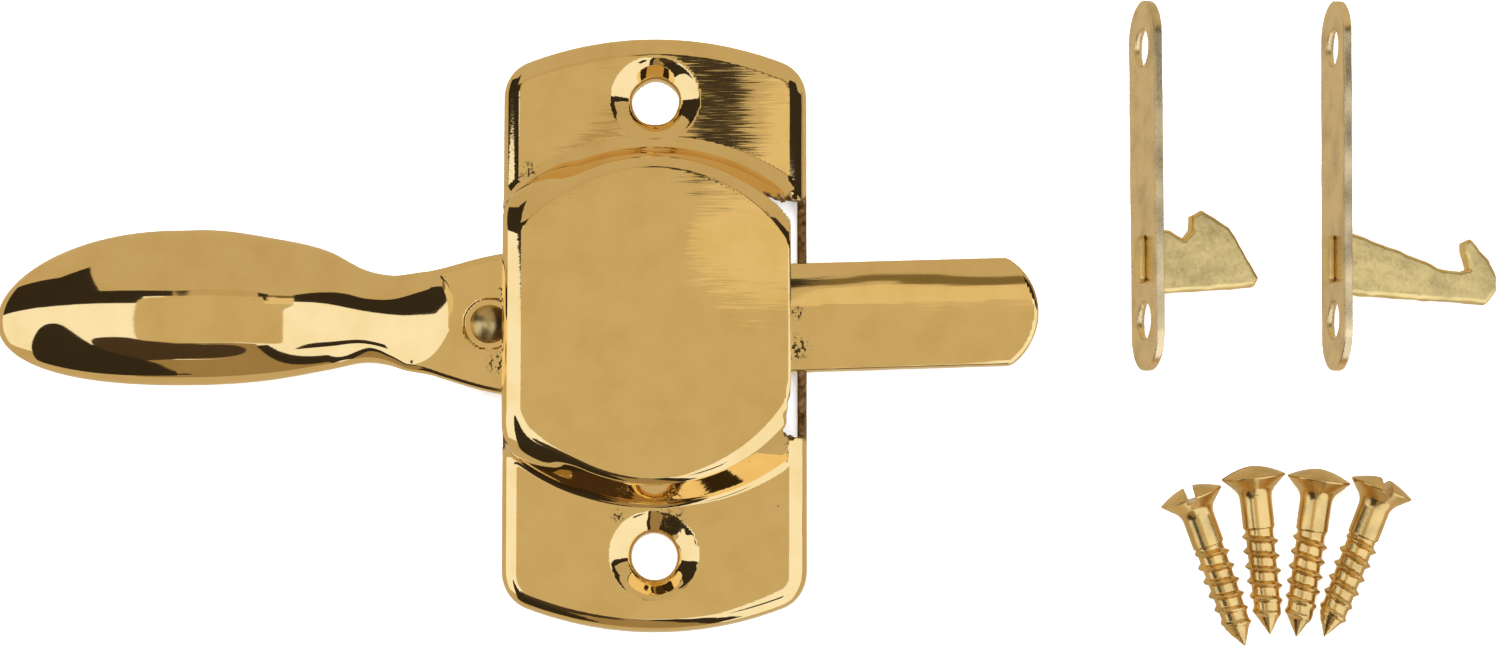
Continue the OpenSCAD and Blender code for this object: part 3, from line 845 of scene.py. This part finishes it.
def screw_field(x, y, z):
    away = np.hypot(x, y)
    turn = np.arctan2(y, x) / (2 * math.pi)
    dome = (z - DOME_H * (1 - (away / HEAD_R) ** 1.7)) * 0.9
    spread = (HEAD_R - SHANK_R) / (NECK_H - 0.15)
    cone = (away - HEAD_R - (z + 0.15) * spread) / math.hypot(1, spread)
    head = common(np.maximum(dome, away - HEAD_R), cone, 0.06)
    shank_end = -NECK_H - SHANK_H
    shank = common(away - SHANK_R, np.maximum(shank_end - z, z + 0.6), 0.15)
    solid = joined(head, shank, 0.45)
    point = np.clip((z + SCREW_LEN) / POINT_H, 0, 1)
    root = ROOT_R * (1 + 0.08 * ramp(z, -SCREW_LEN, shank_end)) * point
    phase = np.mod(z / PITCH + turn, 1) - 0.5
    ridge = np.clip(1 - np.abs(phase) * PITCH / 0.34, 0, 1) ** 0.8
    fade = ramp(z, -SCREW_LEN + 0.8, -SCREW_LEN + 2.6) * (1 - ramp(z, shank_end - 0.9, shank_end + 0.2))
    crest = (CREST_R - ROOT_R - 0.25 * ramp(-z, 10, 14)) * ridge * fade
    thread = (away - root - crest) * 0.72
    thread = np.maximum(thread, z + 3)
    solid = np.minimum(solid, np.maximum(thread, -z - SCREW_LEN))
    slot = np.maximum(np.abs(y) - SLOT_W / 2, DOME_H - SLOT_H - z)
    return common(solid, -slot, 0.05)


def screw_place(node, roll):
    """From a screw's own frame, with its point at z = -SCREW_LEN, to where its CAD node lies."""
    mesh = frame["nodes"][node].data
    corners = np.array([v.co for v in mesh.vertices]) / MM
    mesh.calc_loop_triangles()
    triangles = corners[np.array([t.vertices for t in mesh.loop_triangles])]
    volume = np.einsum("ij,ij->i", triangles[:, 0], np.cross(triangles[:, 1], triangles[:, 2])) / 6
    centre = (volume[:, None] * triangles.sum(1) / 4).sum(0) / volume.sum()
    point = corners[np.argmax(np.linalg.norm(corners - centre, axis=1))]
    axis = (centre - point) / np.linalg.norm(centre - point)
    side = np.cross(Z_AXIS, axis)
    side /= -np.linalg.norm(side)
    up = np.cross(axis, side)
    angle = math.radians(roll)
    place = np.eye(4)
    place[:3, 0] = side * math.cos(angle) + up * math.sin(angle)
    place[:3, 1] = up * math.cos(angle) - side * math.sin(angle)
    place[:3, 2] = axis
    place[:3, 3] = point + SCREW_LEN * axis
    return place


def build_screws():
    brass = satin_brass("screw_brass", (0.86, 0.60, 0.24, 1.0), 0.22, 0.10, 3.0)
    low, high = (-HEAD_R, -HEAD_R, -SCREW_LEN), (HEAD_R, HEAD_R, DOME_H)
    points, quads = surface_net(screw_field, low, high, 0.13)
    points, directions = settle(screw_field, points, 0.13)
    for number, roll in enumerate(ROLLS, 1):
        node = "wood_screw_%d" % number
        place = screw_place(node, roll)
        turn = place[:3, :3].T
        moved = points @ turn + place[:3, 3]
        piece = new_mesh("threaded_screw_%d" % number, moved, quads, directions @ turn)
        finish_piece(piece, brass, "screw_%d" % number, "screw_brass", node)


# ---------- Studio ----------

DOME_R = 500.0
SOFTBOX = (1.05, 1.10, 1.20)
BOARD = (0.633, 0.536, 0.361)
BRIGHT_BOARD = (0.81, 0.69, 0.457)
BLACK = (0.035, 0.028, 0.022)
SWEEP = (0.594, 0.50, 0.34)
DIM_BOARD = (0.57, 0.46, 0.29)
DUSK = (0.36, 0.27, 0.15)
SMEAR = (0.065, 0.045, 0.032)
OLIVE = (0.21, 0.165, 0.075)
# The floor lies just under the part
FLOOR_REACH = 3000.0
FLOOR_GAP = 0.05
FLOOR_GLOW = 0.36
# The camera, in degrees and metres
CAMERA_ELEVATION = 83.5
CAMERA_DISTANCE = 0.475
VIEW_WIDTH = 0.15
AIM_SHIFT = (-0.0001, 0.0001)


def glow(name, colour):
    """A plain light-giving material."""
    s = Shader(name)
    s.tree.nodes.remove(s.surface)
    emission = s.node("Emission", {"Color": colour + (1.0,)})
    s.put(s.tree.nodes["Material Output"].inputs["Surface"], emission.outputs[0])
    return s.material


def dome_point(u, v, radius):
    """The place on the dome that a surface of slope u, v reflects to the camera, in thousandths."""
    a, b = u / 1000, v / 1000
    size = 1 + a * a + b * b
    return (2 * a * radius / size, 2 * b * radius / size, (2 - size) * radius / size)


def only_in_reflections(thing):
    thing.visible_camera = False
    thing.visible_diffuse = False
    thing.visible_shadow = False


def rounded(outline, radius):
    """An outline whose corners are curves that start at most radius before each corner."""
    result = []
    for i, corner in enumerate(outline):
        ends = []
        for other in (outline[i - 1], outline[(i + 1) % len(outline)]):
            ends.append(corner + (other - corner) * min(0.5, radius / np.linalg.norm(other - corner)))
        for t in np.linspace(0, 1, 6):
            result.append((1 - t) ** 2 * ends[0] + 2 * t * (1 - t) * corner + t * t * ends[1])
    return np.array(result)


def card(name, outline, colour, layer, radius=0, cells=10):
    """A light or dark card on the dome, from its outline in slopes, all of which its middle must see.

    Higher layers hang in front of the others.
    """
    outline = np.array(outline, float)
    if radius:
        outline = rounded(outline, radius)
    ahead = np.roll(outline, -1, axis=0)
    share = np.arange(cells)[:, None] / cells
    border = np.concatenate([a + share * (b - a) for a, b in zip(outline, ahead)])
    centre = outline.mean(0)
    count = len(border)
    away = DOME_R - 4 * layer
    points = [dome_point(*centre, away)]
    for i in range(1, cells + 1):
        points += [dome_point(*(centre + (p - centre) * i / cells), away) for p in border]
    faces = [(0, 1 + k, 1 + (k + 1) % count) for k in range(count)]
    faces += band_faces(cells, count, first=1)
    thing = new_mesh(name, points, faces)
    thing.data.materials.append(glow(name, colour))
    only_in_reflections(thing)


def build_tent(rings=44, around=64):
    """A closed ball of one plain tan round everything, behind all cards."""
    points = [(0, 0, DOME_R)]
    for i in range(1, rings):
        polar = math.pi * i / rings
        for k in range(around):
            turn = 2 * math.pi * k / around
            points.append((
                DOME_R * math.sin(polar) * math.cos(turn),
                DOME_R * math.sin(polar) * math.sin(turn),
                DOME_R * math.cos(polar),
            ))
    points.append((0, 0, -DOME_R))
    faces = [(0, 1 + k, 1 + (k + 1) % around) for k in range(around)]
    faces += band_faces(rings - 1, around, first=1)
    last = 1 + (rings - 2) * around
    faces += [(last + k, len(points) - 1, last + (k + 1) % around) for k in range(around)]
    tent = new_mesh("tent", points, faces)
    tent.data.materials.append(glow("tent", SWEEP))
    only_in_reflections(tent)


def build_cards():
    # a big softbox overhead and to both sides, open towards the camera's board
    card("softbox_left", [(-950, -500), (-60, -500), (-60, 107), (-400, 107), (-950, 160)], SOFTBOX, 1)
    card("softbox_right", [(-60, -320), (19, -320), (950, -480), (950, 210), (208, 153), (-60, 107)],
         SOFTBOX, 1)
    card("softbox_low", [(19, -320), (304, -1480), (950, -1100), (950, -480)], SOFTBOX, 1)
    # the dark gaps above it
    card("gap", [(-160, 107), (20, 107), (20, 140), (-11, 152), (-94, 143), (-160, 153)], BLACK, 2)
    card("gap_near_right", [(84, 107), (208, 140), (230, 260), (84, 140)], BLACK, 2)
    card("gap_far_right", [(208, 140), (500, 150), (500, 320), (230, 260)], BLACK, 2)
    card("gap_right", [(84, 84), (900, 84), (900, 200), (200, 150), (84, 125)], BLACK, 2)
    card("streak", [(20, 112), (84, 112), (84, 134), (20, 134)], OLIVE, 2)
    card("gap_left", [(-400, 107), (-150, 60), (-150, 153), (-232, 172)], BLACK, 2)
    card("gap_up_left", [(-400, 107), (-232, 172), (-319, 448), (-400, 400)], BLACK, 2)
    card("wedge", [(-950, 160), (-400, 107), (-400, 400), (-950, 680)], BLACK, 2)
    card("gap_glow", [(-109, 95), (-13, 100), (-13, 167), (-109, 150)], DIM_BOARD, 2.5)
    # the board round the camera, brighter on one side, with a dark thing in front of its edge
    card("board", [(-158, -240), (66, -322), (60, 20), (80, 42), (80, 80), (40, 92), (-158, 100)],
         BOARD, 3, 30)
    card("board_edge", [(-120, 60), (84, 50), (84, 104), (40, 104), (40, 120), (0, 118), (-120, 106)],
         BOARD, 3.5)
    card("bright_board", [(5, 67), (22, 64), (84, 60), (84, 112), (24, 112), (20, 84), (8, 84)],
         BRIGHT_BOARD, 4)
    card("notch", [(0, 118), (2.4, 100), (4.5, 92), (17, 87), (18, 88), (14, 93), (12.5, 100), (16, 118)],
         BLACK, 5)
    card("seam", [(-37, 88), (-34, 87), (-18, 101), (-21, 102)], DUSK, 5)
    # the dark room behind the camera, with a pale patch in the middle
    card("patch", [(-150, -240), (-200, -470), (-330, -1100), (225, -1300), (-23, -300)], DUSK, 1.5)
    card("room_left", [
        (-740, -900), (-560, -540), (-420, -200), (-362, -60), (-300, -60), (-262, -190), (-230, -330),
        (-160, -520), (-190, -1000), (-420, -1060),
    ], BLACK, 2, 90)
    card("room_right", [(-23, -320), (19, -320), (304, -1076), (225, -1300)], BLACK, 2)
    card("smear", [(-240, -540), (-60, -440), (-46, -330), (-150, -235), (-175, -200), (-238, -205)],
         SMEAR, 1.8, 50)
    card("room_gap", [(95, -430), (120, -345), (205, -345), (215, -430)], BLACK, 2, 20)


def build_floor():
    """A pale, matt, slightly glowing floor that no mirror face reflects."""
    reach = FLOOR_REACH
    corners = [(-reach, -reach, 0), (reach, -reach, 0), (reach, reach, 0), (-reach, reach, 0)]
    floor = new_mesh("floor", corners, [(0, 1, 2, 3)])
    floor.location.z = -FLOOR_GAP * MM
    floor.visible_glossy = False
    s = Shader("pale_floor")
    s.put(s.surface.inputs["Base Color"], (0.93, 0.93, 0.93, 1.0))
    s.put(s.surface.inputs["Roughness"], 1.0)
    s.put(s.surface.inputs["Specular IOR Level"], 0.0)
    s.put(s.surface.inputs["Emission Color"], (1.0, 1.0, 1.0, 1.0))
    s.put(s.surface.inputs["Emission Strength"], FLOOR_GLOW)
    floor.data.materials.append(s.material)


def build_light(name, place, size, energy):
    """A soft light aimed at the middle of the scene. The mirror faces don't reflect it."""
    data = bpy.data.lights.new(name, "AREA")
    data.size = size
    data.energy = energy
    lamp = new_object(name, data)
    lamp.location = place
    lamp.rotation_mode = "QUATERNION"
    lamp.rotation_quaternion = Vector(place).to_track_quat("Z", "Y")
    lamp.visible_glossy = False


def build_studio():
    """What the metal reflects, the floor, the lights on it, and a pale surround."""
    build_tent()
    build_cards()
    build_floor()
    build_light("key", (-0.15, 0.2, 0.9), 0.9, 17.0)
    build_light("fill", (0.5, -0.4, 0.7), 0.7, 5.0)
    world = bpy.data.worlds.new("surround")
    world.use_nodes = True
    background = world.node_tree.nodes["Background"]
    background.inputs["Color"].default_value = (0.9, 0.9, 0.9, 1.0)
    background.inputs["Strength"].default_value = 0.35
    bpy.context.scene.world = world


def build_camera():
    """Nearly straight down, a little from below the picture's bottom edge."""
    low, high = cad_box
    target = Vector(((low.x + high.x) / 2 + AIM_SHIFT[0], (low.y + high.y) / 2 + AIM_SHIFT[1], 0))
    elevation = math.radians(CAMERA_ELEVATION)
    data = bpy.data.cameras.new("camera")
    data.sensor_width = 36
    data.lens = data.sensor_width * CAMERA_DISTANCE / VIEW_WIDTH
    data.clip_start = 0.01
    data.clip_end = 20
    camera = new_object("camera", data)
    back = Vector((0, -math.cos(elevation), math.sin(elevation)))
    camera.location = target + back * CAMERA_DISTANCE
    camera.rotation_mode = "QUATERNION"
    camera.rotation_quaternion = back.to_track_quat("Z", "Y")
    bpy.context.scene.camera = camera
    bpy.context.scene.view_settings.view_transform = "Standard"


build_case()
build_lever()
build_spring()
dress_inner_parts()
build_strikes()
build_screws()
build_studio()
build_camera()
